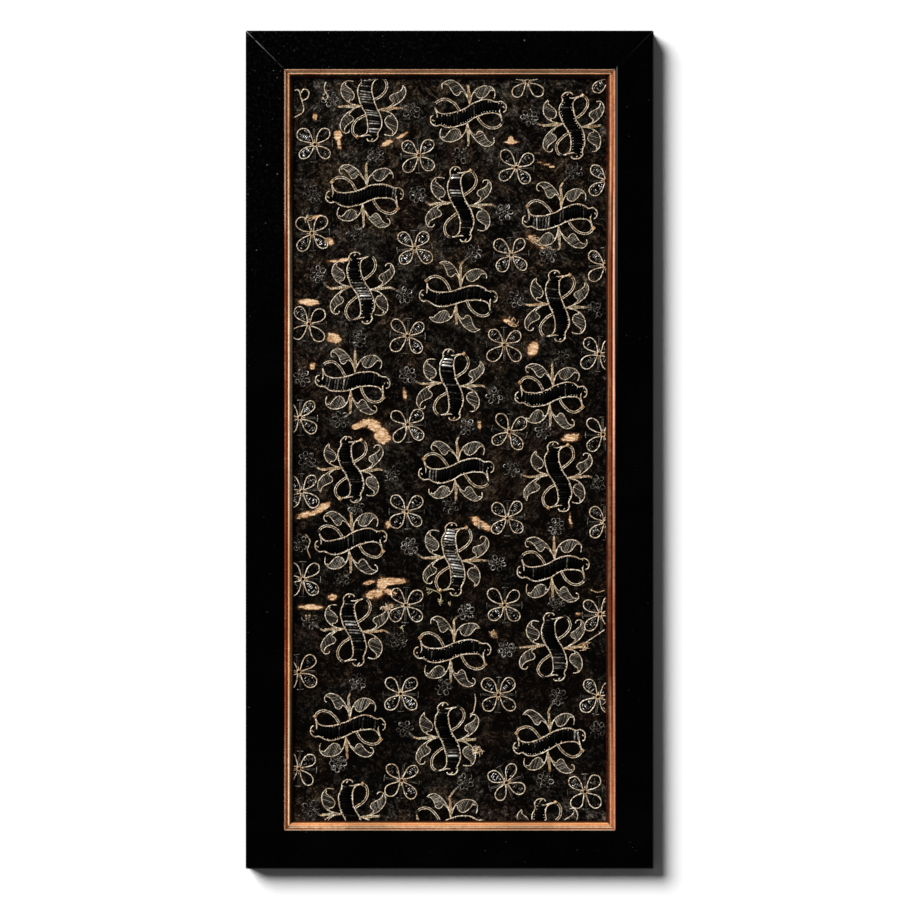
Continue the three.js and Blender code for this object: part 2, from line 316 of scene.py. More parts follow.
def wornGiltWithPaintedLight():
    recipe = Recipe("wornGiltWithPaintedLight", {"Specular IOR Level": 0.2})
    x, y = recipe.axes()[:2]
    fromSide = frameSize[0] / 2 - abs(x)
    fromEnd = frameSize[1] / 2 - abs(y)
    across = (fromSide.least(fromEnd) - gilt["start"]) / gilt["width"] + (recipe.mottle(9) - 0.5) * 0.04
    across = across + y.between(150, 330) * 0.09
    upAcross = across + (0 - y).between(150, 330) * 0.09

    def laid(side, where):
        return where.ramp(*[(place, *gilt["finishes"][finish]) for place, finish in gilt[side]])

    swell = recipe.mottle(120, 3, 0.6)
    ends = (abs(y + 20) + (swell - 0.5) * 300).between(190, 330)
    leftEnds = recipe.mix(y.between(-1, 1), laid("leftEnds", upAcross), laid("leftTop", upAcross))
    left = recipe.mix(ends, laid("left", upAcross), leftEnds)
    right = recipe.mix(ends, laid("right", upAcross), laid("rightEnds", upAcross))
    upright = recipe.mix(x.between(-1, 1), left, right)
    amberLeft = 1 - abs(y + 165).between(50, 140)
    amberRight = 1 - abs(y + 130).between(40, 220)
    amber = amberLeft * x.between(1, -1) + amberRight * x.between(-1, 1)
    tint = recipe.mix(x.between(-1, 1), shade(236, 196, 162), shade(162, 131, 110))
    upright = recipe.mix(amber, upright, tint, "MULTIPLY")
    lying = recipe.mix(y.between(-1, 1), laid("bottom", across), laid("top", across))
    colour = recipe.mix((fromSide - fromEnd).between(-0.05, 0.05), upright, lying)
    runX = recipe.node("Mapping", None, {"Vector": recipe.place(), "Scale": (0.12, 1.0, 1.0)})
    runY = recipe.node("Mapping", None, {"Vector": recipe.place(), "Scale": (1.0, 0.12, 1.0)})
    streaks = recipe.mottle(3.0, 4, 0.6, at=runX) * 0.5 + recipe.mottle(3.0, 4, 0.6, at=runY) * 0.5
    rubbed = (streaks * 0.7 + swell * 0.3).between(0.44, 0.66) * 0.4
    colour = recipe.mix(rubbed, colour, shade(104, 44, 22))
    dulled = (0.62 - swell).between(0.06, 0.2) * 0.3
    colour = recipe.mix(dulled, colour, shade(60, 34, 20))
    # painted highlight: pale gold laid over streaks, kept off the bevel's foot and weaker on the right side
    lit = (0.5 - streaks + (swell - 0.5) * 0.5).between(-0.04, 0.2) * 0.22
    lit = lit * (1 - upAcross.between(0.74, 0.94)) * (1 - x.between(-20, 60) * 0.6)
    colour = recipe.mix(lit, colour, shade(255, 214, 160))
    clay = recipe.mottle(3.0, 4, 0.7).between(0.60, 0.70) * 0.45
    colour = recipe.mix(clay, colour, shade(116, 40, 20))
    mitre = 1 - abs(fromSide - fromEnd).between(0.1, 0.45)
    colour = recipe.mix(mitre * 0.8, colour, shade(14, 8, 5))
    height = recipe.mottle(1.4, 4, 0.6) * 0.6 + streaks * 0.6 + clay * -0.3
    return recipe.finish(colour=colour, metallic=0.12 - clay * 0.1, roughness=0.42 + rubbed * 0.2,
                         normal=recipe.bump(height, 0.3, 0.12))


def plainBoard():
    recipe = Recipe("plainBoard", {"Specular IOR Level": 0.3, "Roughness": 0.85})
    x, y, z = recipe.axes()
    stretched = recipe.node("CombineXYZ", None, {0: x * 0.02, 1: y * 0.0012, 2: z * 0.02})
    fibre = recipe.node("TexNoise", None, {"Vector": stretched, "Scale": 18.0, "Detail": 6.0})
    fine = recipe.node("TexNoise", None, {"Vector": stretched, "Scale": 90.0, "Detail": 4.0})
    grain = fibre * 0.6 + fine * 0.4
    colour = grain.ramp((0.3, 96, 74, 50), (0.5, 142, 114, 80), (0.7, 172, 142, 104))
    return recipe.finish(colour=colour, normal=recipe.bump(grain, 0.3, 0.2))


# The velvet: dark crushed pile, with a brown bloom where it is bruised and the tan ground where it is gone

def crushedVelvet():
    recipe = Recipe("crushedVelvet", {"Specular IOR Level": 0.03, "Roughness": 0.95, "Sheen Weight": 0.03,
                                      "Sheen Roughness": 0.4, "Sheen Tint": shade(170, 150, 130)})
    x, y = recipe.axes()[:2]
    level = recipe.strokes(0, 0.2)
    bruise = recipe.mottle(30, 3, 0.6, 1.0)
    crush = recipe.mottle(9, 3, 0.6, 2.0)
    brushed = [recipe.mottle(4, 3, 0.6, 1.0, at=recipe.strokes(degrees, 0.4)) for degrees in (35, -50)]
    brushed = recipe.mix(recipe.mottle(45, 1).between(0.46, 0.54), *brushed)
    streak = recipe.node("RGBToBW", None, {0: brushed})
    pile = recipe.mottle(1.9, 3, 0.7)
    # painted light: the pile is drawn lighter towards the top left and over the bottom end
    light = 0.62 + 0.38 * (y - x * 0.4).between(-230, 400) + 0.5 * (1 - y.between(-390, -300))
    lit = bruise.between(0.40, 0.70) * 0.35 + crush.between(0.44, 0.70) * 0.42
    lit = lit + streak.between(0.44, 0.70) * 0.36
    lit = (lit + 0.11) * (0.65 + 0.7 * pile.between(0.36, 0.66))
    lit = lit * (1 - recipe.attribute("deep") * 0.35) * light
    grey = lit.ramp((0.0, 2, 1, 1), (0.25, 13, 11, 9), (0.5, 36, 33, 29), (0.8, 64, 59, 53),
                    (1.0, 94, 88, 80))
    brown = lit.ramp((0.0, 3, 1, 0), (0.25, 15, 11, 8), (0.5, 40, 33, 26), (0.8, 70, 59, 48),
                     (1.0, 100, 85, 70))
    colour = recipe.mix(recipe.mottle(38, 2, 0.5, 0.5).between(0.44, 0.58), grey, brown)
    wear = recipe.attribute("wear")
    torn = recipe.mottle(5.5, 5, 0.72, 0.6) * 0.6 + recipe.mottle(4.0, 4, 0.65, at=level) * 0.4
    ragged = wear + (torn - 0.5) * 2.0
    bare = ragged.between(0.42, 0.60) * wear.between(0.05, 0.25)
    weave = recipe.mottle(1.5, 3, 0.7) * 0.35 + recipe.mottle(1.6, 3, 0.6, at=level) * 0.35 + torn * 0.3
    ground = weave.ramp((0.38, 84, 54, 34), (0.44, 146, 106, 72), (0.50, 190, 150, 112),
                        (0.55, 222, 188, 150), (0.62, 246, 222, 190))
    scorched = ragged.between(0.16, 0.44) * wear.between(0.02, 0.3) * 0.75
    colour = recipe.mix(scorched, colour, shade(78, 52, 34))
    colour = recipe.mix(bare, colour, ground)
    height = crush * 0.5 + streak * 0.2 + pile * 0.3 - bare * 0.35
    return recipe.finish(colour=colour, normal=recipe.bump(height, 0.5, 0.8))


# Cords: the attribute along is the length in millimetres, and tone runs from cream at 0 to orange gold at 1,
# and to a tarnished olive at -1

gold = {
    "twistPitch": 2.1,
    "strands": 2,
    "stitchPitch": 3.3,
}


def goldCord():
    recipe = Recipe("goldCord", {"Specular IOR Level": 0.4})
    run = recipe.attribute("along")
    tone = recipe.attribute("tone")
    split = recipe.node("SeparateXYZ", None, {0: recipe.node("UVMap", {"uv_map": "UVMap"})}).socket.node
    around = Value(recipe, split.outputs[1])
    twist = ((run / gold["twistPitch"] + around * gold["strands"]) * 2 * math.pi).wave("SINE")
    age = recipe.mottle(3.0, 4, 0.7)
    cream = age.ramp((0.32, 98, 80, 57), (0.42, 161, 140, 111), (0.52, 220, 201, 173),
                     (0.61, 253, 247, 231))
    orange = age.ramp((0.32, 98, 68, 42), (0.48, 182, 138, 90), (0.64, 244, 206, 154))
    olive = age.ramp((0.32, 70, 66, 32), (0.48, 140, 132, 72), (0.66, 206, 198, 130))
    colour = recipe.mix((tone + (recipe.mottle(6) - 0.5) * 1.2).most(0).least(1), cream, orange)
    colour = recipe.mix((0 - tone).most(0).least(1), colour, olive)
    # painted shade in the grooves between the twisted strands
    paintedGrooveShade = (1 - twist.between(-1.0, 0.1)) * 0.42
    colour = recipe.mix(paintedGrooveShade, colour, shade(60, 44, 30))
    stitches = run / gold["stitchPitch"] + recipe.mottle(9) * 3
    stitch = 1 - stitches.wave("PINGPONG", 0.5).between(0.03, 0.14)
    colour = recipe.mix(stitch * 0.42, colour, shade(46, 34, 24))
    rust = recipe.mottle(7, 2, 0.5).between(0.56, 0.72) * 0.4
    colour = recipe.mix(rust, colour, shade(112, 80, 50))
    return recipe.finish(colour=colour, metallic=0.2, roughness=0.5, normal=recipe.bump(twist, 0.6, 0.12))


# Strip, purl and thread: tone runs from black tarnish at 0 to clean silver at 1

def tarnishedMetal():
    recipe = Recipe("tarnishedMetal", {"Specular IOR Level": 0.015})
    tone = recipe.attribute("tone")
    tarnish = recipe.mottle(2.4, 3, 0.6)
    # on a strip's plates the tone also holds painted highlights on the crests and painted shade between them
    level = (tone * (2.9 * tarnish - 0.45).most(0.1) + (tarnish - 0.6).most(0) * 0.5).least(1)
    colour = level.ramp((0.0, 3, 3, 3), (0.2, 24, 22, 20), (0.45, 102, 96, 88), (0.75, 188, 184, 176),
                        (1.0, 252, 252, 250))
    return recipe.finish(colour=colour, metallic=level * 0.7, roughness=0.5 - level * 0.15,
                         normal=recipe.bump(tarnish, 0.25, 0.1))


def dullThread():
    recipe = Recipe("dullThread", {"Specular IOR Level": 0.2, "Roughness": 0.6})
    tone = recipe.attribute("tone")
    age = recipe.mottle(3.4, 3, 0.6)
    level = (tone + (age - 0.5) * 0.7).most(0).least(1)
    colour = level.ramp((0.0, 8, 7, 5), (0.3, 60, 54, 46), (0.6, 150, 141, 126), (1.0, 226, 220, 206))
    return recipe.finish(colour=colour, normal=recipe.bump(age, 0.2, 0.1))


# Laying cords on the cloth

laying = {
    "uneven": (0.78, 1.2),   # how a cord's radius strays from one step to the next
    "height": 0.85,          # of its middle over the cloth, in radii
    "taperEnds": 6,          # a sixth of a tapered cord thins out at each end
    "taperLeast": 0.35,      # to this share of its radius
    "spanStep": 0.125,
}


def crushAt(x, y):  # how far the crushed pile rises there, fading out before the slip
    size = cloth["crushSize"]
    inside = min(sightHalf[0] - abs(x), sightHalf[1] - abs(y), cloth["crushFade"]) / cloth["crushFade"]
    return cloth["crush"] * max(inside, 0.0) * noise.noise(Vector((x / size, y / size, cloth["seed"])))


def along(points, step, closed=False):  # a rounded route through given points, in even steps
    points = [Vector(point) for point in points]
    count = len(points)
    dense = []
    spans = count if closed else count - 1
    for i in range(spans):
        if closed:
            a, b, c, d = (points[(i + k) % count] for k in (-1, 0, 1, 2))
        else:
            a, b, c, d = (points[max(0, min(i + k, count - 1))] for k in (-1, 0, 1, 2))
        for t in np.arange(0, 1, laying["spanStep"]):
            dense.append(0.5 * (2 * b + (c - a) * t + (2 * a - 5 * b + 4 * c - d) * t * t
                                + (3 * b - a - 3 * c + d) * t ** 3))
    dense.append(points[0] if closed else points[-1])
    dense = np.array(dense)
    run = np.concatenate([[0], np.cumsum(np.linalg.norm(np.diff(dense, axis=0), axis=1))])
    marks = np.linspace(0, run[-1], max(3, round(run[-1] / step) + 1))
    return np.stack([np.interp(marks, run, dense[:, k]) for k in (0, 1)], axis=1)


def turned(points, degrees, x=0.0, y=0.0):  # turned about 0, 0 and then moved
    angle = math.radians(degrees)
    matrix = np.array([[math.cos(angle), math.sin(angle)], [-math.sin(angle), math.cos(angle)]])
    return np.asarray(points, float) @ matrix + (x, y)


def shaken(points, seed, size=15.0, reach=0.8):  # moved a little, as a hand that sews moves it
    for part, share in ((1.0, 1.0), (0.28, 0.42)):
        spots = [Vector((x / size / part, y / size / part, seed * 7.3)) for x, y in points]
        points = points + np.array([noise.noise_vector(spot)[:2] for spot in spots]) * reach * share
    return points


def withinSight(points, margin=0.25):  # the stretches that show inside the slip
    inside = (abs(points[:, 0]) < sightHalf[0] - margin) & (abs(points[:, 1]) < sightHalf[1] - margin)
    cuts = np.flatnonzero(np.diff(inside.astype(int))) + 1
    runs = zip(np.split(points, cuts), np.split(inside, cuts))
    return [run for run, kept in runs if kept[0] and len(run) > 1]


class Bundle:  # the cords of one piece, drawn as the splines of one curve and then made a mesh
    def __init__(self, name, sides, seed):
        self.name = name
        self.sides = sides
        self.cords = []
        self.draw = random.Random(seed)

    def add(self, points, radius, tone, lift=0.0, arch=0.0, taper=False):
        for run in withinSight(np.asarray(points, float)):
            count = len(run)
            share = np.linspace(0, 1, count)
            rise = lift + arch * 4 * share * (1 - share)
            radii = np.array([radius * self.draw.uniform(*laying["uneven"]) for _ in run])
            if taper:
                radii *= np.clip(np.minimum(share, 1 - share) * laying["taperEnds"], laying["taperLeast"], 1)
            heights = np.array([clothFace + crushAt(x, y) for x, y in run]) + radius * laying["height"] + rise
            self.cords.append((np.column_stack([run, heights]), radii, tone))

    def build(self, material):
        curve = bpy.data.curves.new(self.name, "CURVE")
        curve.dimensions = "3D"
        curve.bevel_depth = mm
        curve.bevel_resolution = (self.sides - 4) // 2
        for route, radii, tone in self.cords:
            spline = curve.splines.new("POLY")
            spline.points.add(len(route) - 1)
            spline.points.foreach_set("co", np.column_stack([route * mm, np.ones(len(route))]).ravel())
            spline.points.foreach_set("radius", radii)
        drawn = bpy.data.objects.new(self.name + "_drawn", curve)
        scene.collection.objects.link(drawn)
        mesh = bpy.data.meshes.new_from_object(drawn.evaluated_get(bpy.context.evaluated_depsgraph_get()))
        bpy.data.objects.remove(drawn)
        self.label(mesh)
        piece = newPiece(self.name, mesh, material)
        bm = bmesh.new()
        bm.from_mesh(mesh)
        bmesh.ops.edgeloop_fill(bm, edges=[edge for edge in bm.edges if edge.is_boundary])
        bmesh.ops.recalc_face_normals(bm, faces=bm.faces)
        bm.to_mesh(mesh)
        bm.free()
        mesh.shade_smooth()
        return piece

    def label(self, mesh):  # the mesh has the cords' rings of points, in the cords' order
        tones = [[tone] * (len(route) * self.sides) for route, radii, tone in self.cords]
        marks = []
        for route, radii, tone in self.cords:
            steps = np.linalg.norm(np.diff(route, axis=0), axis=1)
            marks.append(np.repeat(np.concatenate([[0], np.cumsum(steps)]), self.sides))
        for name, values in (("tone", tones), ("along", marks)):
            layer = mesh.attributes.new(name, "FLOAT", "POINT")
            layer.data.foreach_set("value", np.concatenate(values).astype(np.float32))


def closeBelow(bm, rim, height):  # walls from a rim down to that height, and a bottom to them
    sunk = bmesh.ops.extrude_edge_only(bm, edges=rim)["geom"]
    for item in sunk:
        if isinstance(item, bmesh.types.BMVert):
            item.co.z = height
    bmesh.ops.edgeloop_fill(bm, edges=[item for item in sunk if isinstance(item, bmesh.types.BMEdge)
                                       and item.is_boundary])


def finished(bm, name):  # the mesh, in metres
    bmesh.ops.recalc_face_normals(bm, faces=bm.faces)
    bmesh.ops.scale(bm, vec=(mm, mm, mm), verts=bm.verts)
    mesh = bpy.data.meshes.new(name)
    bm.to_mesh(mesh)
    bm.free()
    mesh.shade_smooth()
    return mesh


def newPiece(name, mesh, material):
    piece = bpy.data.objects.new(name, mesh)
    mesh.name = name
    mesh.materials.clear()
    mesh.materials.append(material)
    scene.collection.objects.link(piece)
    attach(piece, "root")
    return piece


# The scroll knot, drawn once lying across, as the half above its middle. The other half is this one turned
# round. Rows of the table: the middle of the band, its turn in degrees, and its reach from curl to curl.

knot = {
    "drawnReach": 75.0,
    "cord": 0.66,            # radius
    "step": 0.95,
    "edge": [(-32.5, 14.5), (-31, 8), (-27, 4.5), (-20, 3.3), (-12, 3.7), (-4, 5.5), (2, 8), (8, 9.8),
             (17, 11), (24, 9.8), (30, 6.3), (35, 6.2), (38.8, 2), (37.8, -3.5), (35, -5)],
    "curl": [(-32.5, 14.5), (-32.2, 9), (-31.5, 4.5), (-32.3, 1), (-35.2, -1.2), (-37.3, 0.5)],
    "loop": [(-32.5, 14.5), (-29, 17.8), (-23, 18.9), (-17, 16.6), (-12, 11.6), (-8.5, 5.3)],
    "loopCord": 0.47,
    "loopGap": 0.88,         # from the loop's line to each of its two cords
    "wrap": [(-1.9, -1.2), (0, -1.0), (1.9, -1.2)],   # the first of the bars wound round a corner
    "wrapBars": 4,
    "wrapPitch": 0.8,
    "wrapTurn": 38,
    "wrapCord": 0.42,
    "foot": (2.0, 8.3),
    "stems": [
        [(2, 8.3), (0.8, 14), (0.7, 19), (1.0, 25), (0.9, 29)],
        [(2, 8.3), (2.8, 14), (2.9, 19), (2.4, 25), (2.5, 29)],
        [(1.9, 10), (1.8, 18), (1.7, 24), (1.6, 28)],
    ],
    "stem": 0.42,
    "stemLean": 0.4,         # how much of the band's tilt its stems and leaves share
    "stemEnd": [(1.7, 25), (1.6, 30)],
    "stemReach": (5.0, 24.0),    # how far off a floret may be for the stem to run on to it
    "tipShort": 3.0,         # of the floret's middle
    "tipGap": 0.45,          # to each of the tip's two cords
    "tipHalf": 1.15,         # half the length of the bars across its end
    "tipCord": 0.4,
    "stripPitch": 3.1,
    "toothPitch": 2.7,
    "toothFrom": 0.4,        # from the edge's line inwards
    "toothTo": (1.0, 1.7),
    "toothCord": 0.4,
    "dotAt": (1.4, 1.9),
    "dotLength": 0.6,
    "dotCord": 0.36,
    "seed": 11,
}
knotColumns = {
    "Left": [
        (-80, 343, -86, 66), (-85, 255, 2, 75), (-89, 162, -80, 70), (-97, 68, -3, 72), (-99, -20, -82, 64),
        (-99, -92, 8, 70), (-96, -181, -83, 70), (-102, -279, 5, 73), (-99, -367, -85, 70),
    ],
    "Middle": [
        (19, 337, 10, 74), (11, 246, -82, 73), (9, 154, -2, 75), (2, 65, -86, 69), (7, -21, 5, 73),
        (4, -110, -87, 71), (3, -202, 2, 74), (-2, -290, -83, 71), (-1, -378, 0, 74),
    ],
    "Right": [
        (123, 325, -82, 65), (111, 233, 6, 73), (108, 144, -86, 69), (102, 55, 4, 70), (109, -27, -81, 68),
        (104, -119, 6, 70), (105, -198, -82, 66), (100, -293, 10, 71), (96, -386, -82, 70),
    ],
}

# The two leaves of each half knot: a broad one that lies along the band, and one that stands up beside the
# stem. The hook is how many of the outer line's last points run past the leaf's body.
leaf = {
    "kinds": [
        {"outer": [(2, 8.5), (3.6, 15), (5.8, 20.4), (10.5, 25.2), (17.2, 27.4), (23.8, 26.2), (28.0, 22.0),
                   (28.2, 17.4), (27.0, 14.0)],
         "inner": [(2.6, 13), (4.0, 17.6), (6.4, 20.6), (8.8, 20.6), (8.7, 18.2), (10.6, 15.8),
                   (14.2, 14.8), (18.4, 16.8), (21.8, 20.4), (24.2, 22.6), (26.8, 21.8)],
         "hook": 2, "hatchTurn": 66, "sway": (-4, 4)},
        {"outer": [(2, 8.5), (0.2, 15.5), (-3.0, 22.2), (-8.2, 28.4), (-14.4, 32.2), (-20.2, 32.2),
                   (-24.4, 28.8), (-24.2, 24.6), (-21.8, 23.4)],
         "inner": [(1.2, 13), (-1.8, 18.2), (-4.4, 21.2), (-6.6, 21.6), (-7.9, 19.4), (-10.4, 17.6),
                   (-13.4, 19.0), (-15.6, 23.0), (-18.0, 26.8), (-20.8, 28.8), (-23.0, 28.8)],
         "hook": 3, "hatchTurn": 22, "sway": (-11, 5)},
    ],
    "outerCord": 0.55,
    "innerCord": 0.49,
    "thread": 0.33,
    "threadPitch": 1.45,
    "seed": 23,
}


def hatch(outline, turn, pitch, draw):  # straight threads across an outline
    flat = turned(outline, -turn)
    nextPoints = np.roll(flat, -1, axis=0)
    threads = []
    level = flat[:, 1].min() + pitch / 2
    while level < flat[:, 1].max():
        crossings = []
        for (ax, ay), (bx, by) in zip(flat, nextPoints):
            if (ay > level) != (by > level):
                crossings.append(ax + (level - ay) / (by - ay) * (bx - ax))
        crossings.sort()
        for start, end in zip(crossings[::2], crossings[1::2]):
            if end - start > 1.0:
                bow = draw.uniform(-0.15, 0.15)
                slant = draw.uniform(-0.1, 0.1)
                line = [(start, level), ((start + end) / 2, level + bow), (end, level + slant)]
                threads.append(turned(line, turn))
        level += pitch * draw.uniform(0.9, 1.1)
    return threads


def beside(points, gap):  # the same line, moved sideways
    slope = np.gradient(points, axis=0)
    slope /= np.linalg.norm(slope, axis=1)[:, None]
    return points + np.column_stack([-slope[:, 1], slope[:, 0]]) * gap


def layKnot(row, seed, cords, threads):
    x, y, turn, reach = row
    draw = random.Random(seed)
    stretch = np.array([reach / knot["drawnReach"], 1.0])
    step = knot["step"]
    dotted = draw.choice((0.0, 0.0, 0.5))
    for half in (0, 180):
        def settle(points):
            return turned(turned(np.asarray(points, float) * stretch, half), turn, x, y)

        def grow(points):
            upright = 90 * round(turn / 90)
            return turned(turned(points, half), upright + (turn - upright) * knot["stemLean"], x, y)

        def lay(points, radius, tone, **more):
            cords.add(shaken(along(settle(points), step), seed + half), radius, tone, **more)

        lay(knot["edge"], knot["cord"], draw.uniform(-0.1, 0.25))
        spots = shaken(along(settle(knot["edge"][2:12]), knot["toothPitch"]), seed + half)
        inward = beside(spots, -1.0) - spots
        for spot, way in zip(spots, inward):
            if draw.random() < 0.5:
                tooth = [spot + way * knot["toothFrom"], spot + way * draw.uniform(*knot["toothTo"])]
                cords.add(tooth, knot["toothCord"], 0.15, lift=0.25)
            if draw.random() < dotted:
                dot = spot + way * draw.uniform(*knot["dotAt"])
                dot = [dot, dot + way * knot["dotLength"]]
                threads.add(dot, knot["dotCord"], draw.uniform(0.7, 1.1), lift=0.7)
        lay(knot["curl"], knot["cord"] * 0.95, draw.uniform(0.0, 0.2))
        loop = shaken(along(settle(knot["loop"]), step), seed + half)
        for side in (-1, 1):
            cords.add(beside(loop, side * knot["loopGap"]), knot["loopCord"], draw.uniform(-0.2, 0.5))
        wrap = settle([knot["loop"][0]])[0]
        wrapping, tone = draw.choice(((threads, 0.12), (cords, 0.9)))
        for i in range(knot["wrapBars"]):
            bar = np.array(knot["wrap"]) + (0, i * knot["wrapPitch"])
            bar = turned(bar, turn + half + knot["wrapTurn"], *wrap)
            wrapping.add(bar, knot["wrapCord"], tone, lift=1.1, arch=0.5)
        for stem in knot["stems"]:
            route = along(grow(stem), step)
            tone = draw.choice((-0.3, 0.6, 0.9))
            cords.add(shaken(route, seed + half), knot["stem"], tone, lift=draw.uniform(0.1, 0.5))
        layStemTip(grow(knot["stemEnd"]), seed + half, draw, cords, threads)
        for kind in leaf["kinds"]:
            layLeaf(kind, grow, seed + half, draw, cords, threads)


def layStemTip(end, seed, draw, cords, threads):  # the thin end of a stem, bent to the nearest floret
    tip = end[1]
    away = np.hypot(floret["places"][:, 0] - tip[0], floret["places"][:, 1] - tip[1])
    nearest = floret["places"][away.argmin()]
    if knot["stemReach"][0] < away.min() < knot["stemReach"][1]:
        short = tip + (nearest - tip) * (1 - knot["tipShort"] / away.min())
        bend = tip + (end[1] - end[0]) * 0.3 + (short - tip) * 0.4
        route = shaken(along([end[0], tip, bend, short], knot["step"]), seed + 3)
        gilded = len(route) // 2
        for gap in (-knot["tipGap"], knot["tipGap"]):
            cords.add(beside(route, gap)[:gilded + 1], knot["stem"], draw.uniform(0.3, 0.8))
        for left, right in list(zip(*(beside(route, side * knot["tipHalf"]) for side in (-1, 1))))[gilded:]:
            bar = [left, (left + right) / 2, right]
            threads.add(bar, knot["tipCord"], draw.uniform(0.12, 0.5), lift=0.2, arch=0.4)


def layLeaf(kind, grow, seed, draw, cords, threads):
    sway = draw.uniform(*kind["sway"])
    size = draw.uniform(0.95, 1.04)
    foot = np.array(knot["foot"])

    def put(points):
        return turned((np.asarray(points, float) - foot) * size, sway, *foot)

    kept = len(kind["outer"]) - draw.choice((0, 0, 0, 1, 2))
    for points, radius in ((kind["outer"][:kept], leaf["outerCord"]), (kind["inner"], leaf["innerCord"])):
        cords.add(shaken(along(grow(put(points)), knot["step"]), seed), radius, draw.uniform(-0.15, 0.15))
    body = along(put(kind["outer"][2:-kind["hook"]] + kind["inner"][:1:-1]), 1.0, closed=True)
    tone = draw.uniform(0.28, 0.44)
    for thread in hatch(body, kind["hatchTurn"] + sway, leaf["threadPitch"], draw):
        line = shaken(grow(along(thread, 2.2)), seed)
        threads.add(line, leaf["thread"], tone + draw.uniform(-0.15, 0.2), arch=0.35)


# The strip that fills a band: plates folded to and fro across it, over padding. Each row of bright plates is
# a knot's column and number, where they start and end along the band, and how clean the metal is.

strip = {
    "top": [(-35.5, 3.5), (-31, 4.2), (-27, 4.3), (-20, 3.1), (-12, 3.5), (-4, 5.3), (2, 7.6), (8, 9.4),
            (17, 10.5), (24, 9.4), (30, 6.2), (35.5, 4.6)],
    "inset": 1.0,
    "rise": 0.85,
    "ridge": 0.5,
    "lean": 0.16,            # how far a plate's top edge lies ahead of its lower one
    "leanSpread": 0.07,
    "uneven": 1.3,           # how far the plates stray from an even pitch
    "unevenSize": 6,
    "foot": 0.15,            # how high a plate's ends lie over the cloth
    "sunk": 0.4,             # how far the padding reaches into the cloth
    "foldSteps": 6,
    "acrossSteps": 6,
    "bright": [
        ("Left", 0, -36, 30, 0.62), ("Left", 2, 2, 14, 0.8), ("Left", 2, -12, 2, 0.45),
        ("Left", 6, -12, 4, 0.95), ("Left", 1, 26, 36, 0.6), ("Middle", 1, -34, -8, 0.6),
        ("Middle", 3, -36, -22, 0.75), ("Middle", 5, -34, 20, 0.78), ("Middle", 7, 8, 18, 0.72),
        ("Right", 1, -30, -12, 0.45), ("Right", 7, 22, 34, 0.5), ("Middle", 4, -32, -18, 0.42),
        ("Left", 3, -30, -6, 0.36), ("Right", 6, 8, 26, 0.4),
    ],
    "seed": 5,
}


def layStrips(material):
    bm = bmesh.new()
    uvLayer = bm.loops.layers.uv.verify()
    toneLayer = bm.verts.layers.float.new("tone")
    topX, topY = zip(*strip["top"])
    number = 0
    for column, rows in knotColumns.items():
        for index, (x, y, turn, reach) in enumerate(rows):
            number += 1
            draw = random.Random(strip["seed"] * 100 + number)
            folds = round((topX[-1] - topX[0]) / knot["stripPitch"])
            made = bmesh.ops.create_grid(bm, x_segments=folds * strip["foldSteps"],
                                         y_segments=strip["acrossSteps"], size=0.5, calc_uvs=True)["verts"]
            tones = [0.3 * draw.random() ** 4 for _ in range(folds + 1)]
            spread = strip["leanSpread"]
            leans = [strip["lean"] + draw.uniform(-spread, spread) for _ in range(folds + 1)]
            for start, end, clean in [row[2:] for row in strip["bright"] if row[:2] == (column, index)]:
                for fold in range(folds):
                    if start <= topX[0] + fold * knot["stripPitch"] <= end:
                        tones[fold] = clean * draw.choice((0.25, 0.55, 0.8, 1.0, 1.35))
            rim = [edge for edge in bm.edges if edge.is_boundary and edge.verts[0] in set(made)]
            for vert in made:
                share, height = vert.co.x + 0.5, vert.co.y + 0.5
                fold = share * folds
                phase = fold - math.floor(fold)
                px = topX[0] + share * (topX[-1] - topX[0])
                high = np.interp(px, topX, topY) - strip["inset"]
                low = -np.interp(-px, topX, topY) + strip["inset"]
                py = low + (high - low) * height
                px += (height - 0.5) * (high - low) * leans[int(fold)]
                px += strip["uneven"] * noise.noise(Vector((px / strip["unevenSize"], number, 0)))
                arch = 1 - (2 * height - 1) ** 4
                z = strip["foot"] + strip["rise"] * arch + strip["ridge"] * math.sin(phase * math.pi) * arch
                # painted highlight on each plate's crest and painted shade in the folds between, through the
                # tone
                vert[toneLayer] = tones[int(fold)] * (0.1 + 1.0 * math.sin(phase * math.pi) ** 2.5)
                spot = turned([(px * reach / knot["drawnReach"], py)], turn, x, y)[0]
                vert.co = (spot[0], spot[1], clothFace + crushAt(*spot) + z)
            closeBelow(bm, rim, clothFace - strip["sunk"])
    clipToSight(bm)
    return newPiece("bandStrips", finished(bm, "bandStrips"), material)


def clipToSight(bm, margin=0.4):  # cuts what would run under the slip, and closes the cuts
    for axis in (0, 1):
        for side in (-1, 1):
            limit = Vector((0, 0, 0))
            limit[axis] = side * (sightHalf[axis] - margin)
            normal = Vector((0, 0, 0))
            normal[axis] = side
            cut = bmesh.ops.bisect_plane(bm, geom=bm.verts[:] + bm.edges[:] + bm.faces[:], plane_co=limit,
                                         plane_no=normal, clear_outer=True)
            edges = [item for item in cut["geom_cut"] if isinstance(item, bmesh.types.BMEdge)]
            bmesh.ops.edgeloop_fill(bm, edges=edges)


# The four-petalled flower, drawn with one petal pointing along x. Rows of the table: its middle and turn.

